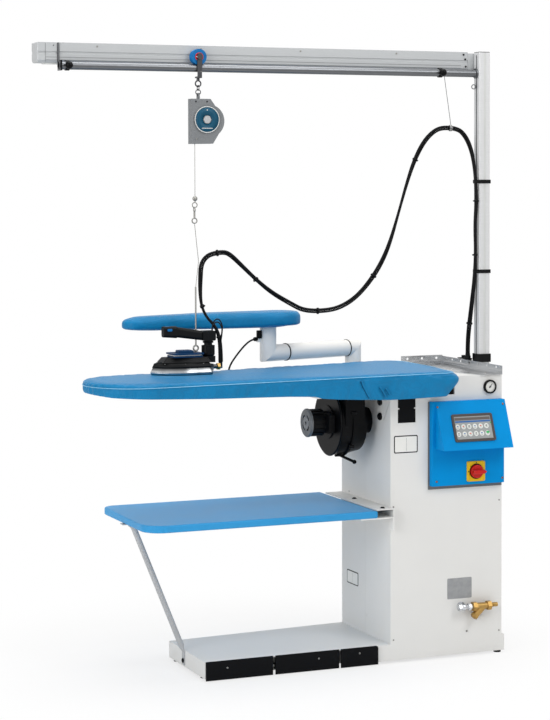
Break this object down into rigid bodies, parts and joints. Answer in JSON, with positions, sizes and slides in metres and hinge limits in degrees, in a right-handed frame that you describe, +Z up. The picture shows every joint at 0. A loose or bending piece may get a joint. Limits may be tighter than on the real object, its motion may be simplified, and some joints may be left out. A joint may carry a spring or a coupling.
{
  "type": "industrial ironing table",
  "caption": "Vacuum ironing table with boiler cabinet, swivel sleeve board, lower shelf, and a steam iron hung from a balancer on a gantry rail.",
  "frame": {"origin": "centre of the base on the floor, under the middle of the whole machine's box", "axes": "+X along the board to the cabinet's end, +Y away from the operator, +Z up"},
  "size_m": [1.545, 0.5453, 1.96],
  "materials": {
    "white_paint": "satin",
    "blue_paint": "satin",
    "grey_paint": "satin",
    "black_paint": "satin",
    "black_plastic": "matte",
    "grey_plastic": "matte",
    "yellow_plastic": "satin",
    "red_plastic": "gloss",
    "blue_plastic": "gloss",
    "blue_cloth": "woven",
    "steel": "brushed",
    "chrome": "polished",
    "zinc": "satin",
    "brass": "satin",
    "aluminium": "anodised",
    "cast_aluminium": "cast",
    "rubber": "matte",
    "shield": "satin"
  },
  "bodies": {
    "stand": {"base_plinth": "white_paint", "leveling_feet": "rubber", "pedal_cover": "black_paint", "cabinet_front_cover": "white_paint", "cabinet_rear_cover": "white_paint", "cabinet_top_plate": "white_paint", "board_support": "black_paint", "boiler_tank": "steel", "boiler_heater": "zinc", "steam_solenoid": "brass", "feed_pump": "black_paint", "console_housing": "blue_paint", "display_unit": "grey_plastic", "switch_plate": "yellow_plastic", "gauge_case": "black_plastic", "water_inlet_fitting": "chrome", "water_strainer": "brass", "board_pan": "white_paint", "board_cover": "blue_cloth", "fan_volute": "black_plastic", "fan_motor": "grey_plastic", "fan_end_cap": "grey_plastic", "fan_terminal_box": "black_plastic", "shelf_panel": "blue_paint", "shelf_bracket": "grey_paint", "shelf_strut": "grey_paint", "hex_bolts": "black_paint", "sleeve_socket": "grey_paint", "iron_rest": "steel", "gantry_post": "aluminium", "post_clamp": "black_plastic", "lamp_housing": "aluminium", "trolley_rail": "aluminium", "rail_stops": "black_plastic", "hose_hanger": "zinc", "hose_sag": "rubber", "hose_post": "rubber", "sleeve_cable": "rubber"},
    "pedal_left": {"pedal_left": "black_paint"},
    "pedal_middle": {"pedal_middle": "black_paint"},
    "main_switch": {"switch_knob": "red_plastic"},
    "gauge_hand": {"gauge_needle": "black_plastic"},
    "fan_wheel": {"fan_impeller": "black_plastic"},
    "sleeve_arm": {"arm_base_elbow": "grey_paint", "arm_tube": "grey_paint", "arm_riser_elbow": "grey_paint"},
    "sleeve_board": {"sleeve_form": "blue_cloth"},
    "trolley": {"trolley_hanger": "zinc", "balancer_housing": "grey_plastic", "lift_wire": "zinc", "hose_front": "rubber"},
    "rail_wheel": {"trolley_wheel": "blue_plastic"},
    "iron": {"iron_soleplate": "chrome", "iron_body": "black_plastic", "iron_heat_shield": "shield", "iron_handle": "black_plastic", "lifting_rod": "zinc", "hose_iron": "rubber"},
    "steam_button": {"iron_button": "blue_plastic"},
    "heat_knob": {"iron_knob": "black_plastic"}
  },
  "joints": [
    {"name": "pedal_left_press", "type": "hinge", "parent": "stand", "child": "pedal_left", "pos_m": [-0.2005, -0.17265, 0.026], "axis": [1, 0, 0], "range_deg": [0, 3.5], "stiffness_Nm_per_rad": 30, "springref_deg": -2.86},
    {"name": "pedal_middle_press", "type": "hinge", "parent": "stand", "child": "pedal_middle", "pos_m": [0.0275, -0.17265, 0.026], "axis": [1, 0, 0], "range_deg": [0, 3.5], "stiffness_Nm_per_rad": 30, "springref_deg": -2.86},
    {"name": "main_switch_turn", "type": "hinge", "parent": "stand", "child": "main_switch", "pos_m": [0.61, -0.22265, 0.602], "axis": [0, -1, 0], "range_deg": [0, 90]},
    {"name": "gauge_hand_turn", "type": "hinge", "parent": "stand", "child": "gauge_hand", "pos_m": [0.6719, -0.19465, 0.87], "axis": [0, 1, 0], "range_deg": [-173, 97], "stiffness_Nm_per_rad": 0.002},
    {"name": "fan_spin", "type": "hinge", "parent": "stand", "child": "fan_wheel", "pos_m": [0.214, -0.01565, 0.76], "axis": [1, 0, 0], "continuous": true},
    {"name": "arm_swing", "type": "hinge", "parent": "stand", "child": "sleeve_arm", "pos_m": [0.3855, 0.24135, 0.975], "axis": [0, 0, 1], "range_deg": [-95, 0], "deforming": ["sleeve_cable"]},
    {"name": "sleeve_board_turn", "type": "hinge", "parent": "sleeve_arm", "child": "sleeve_board", "pos_m": [0.0345, 0.14035, 1.062], "axis": [0, 0, 1], "range_deg": [-90, 0]},
    {"name": "trolley_slide", "type": "slide", "parent": "stand", "child": "trolley", "axis": [1, 0, 0], "range_m": [-0.22, 0.14], "deforming": ["hose_sag"]},
    {"name": "rail_wheel_roll", "type": "hinge", "parent": "trolley", "child": "rail_wheel", "pos_m": [-0.2585, -0.00365, 1.9235], "axis": [0, 1, 0], "range_deg": [-590, 380]},
    {"name": "iron_lift", "type": "slide", "parent": "trolley", "child": "iron", "axis": [0, 0, 1], "range_m": [0, 0.15], "deforming": ["lift_wire", "hose_front"]},
    {"name": "steam_button_press", "type": "slide", "parent": "iron", "child": "steam_button", "axis": [0, 0, -1], "range_m": [0, 0.003], "stiffness_N_per_m": 500, "springref_m": -0.002},
    {"name": "heat_knob_turn", "type": "hinge", "parent": "iron", "child": "heat_knob", "pos_m": [-0.2285, -0.00365, 0.9866], "axis": [0, 0, 1], "range_deg": [0, 270]}
  ],
  "couplings": [
    {"joint": "rail_wheel_roll", "follows": "trolley_slide", "rad_per_m": 46.083}
  ]
}
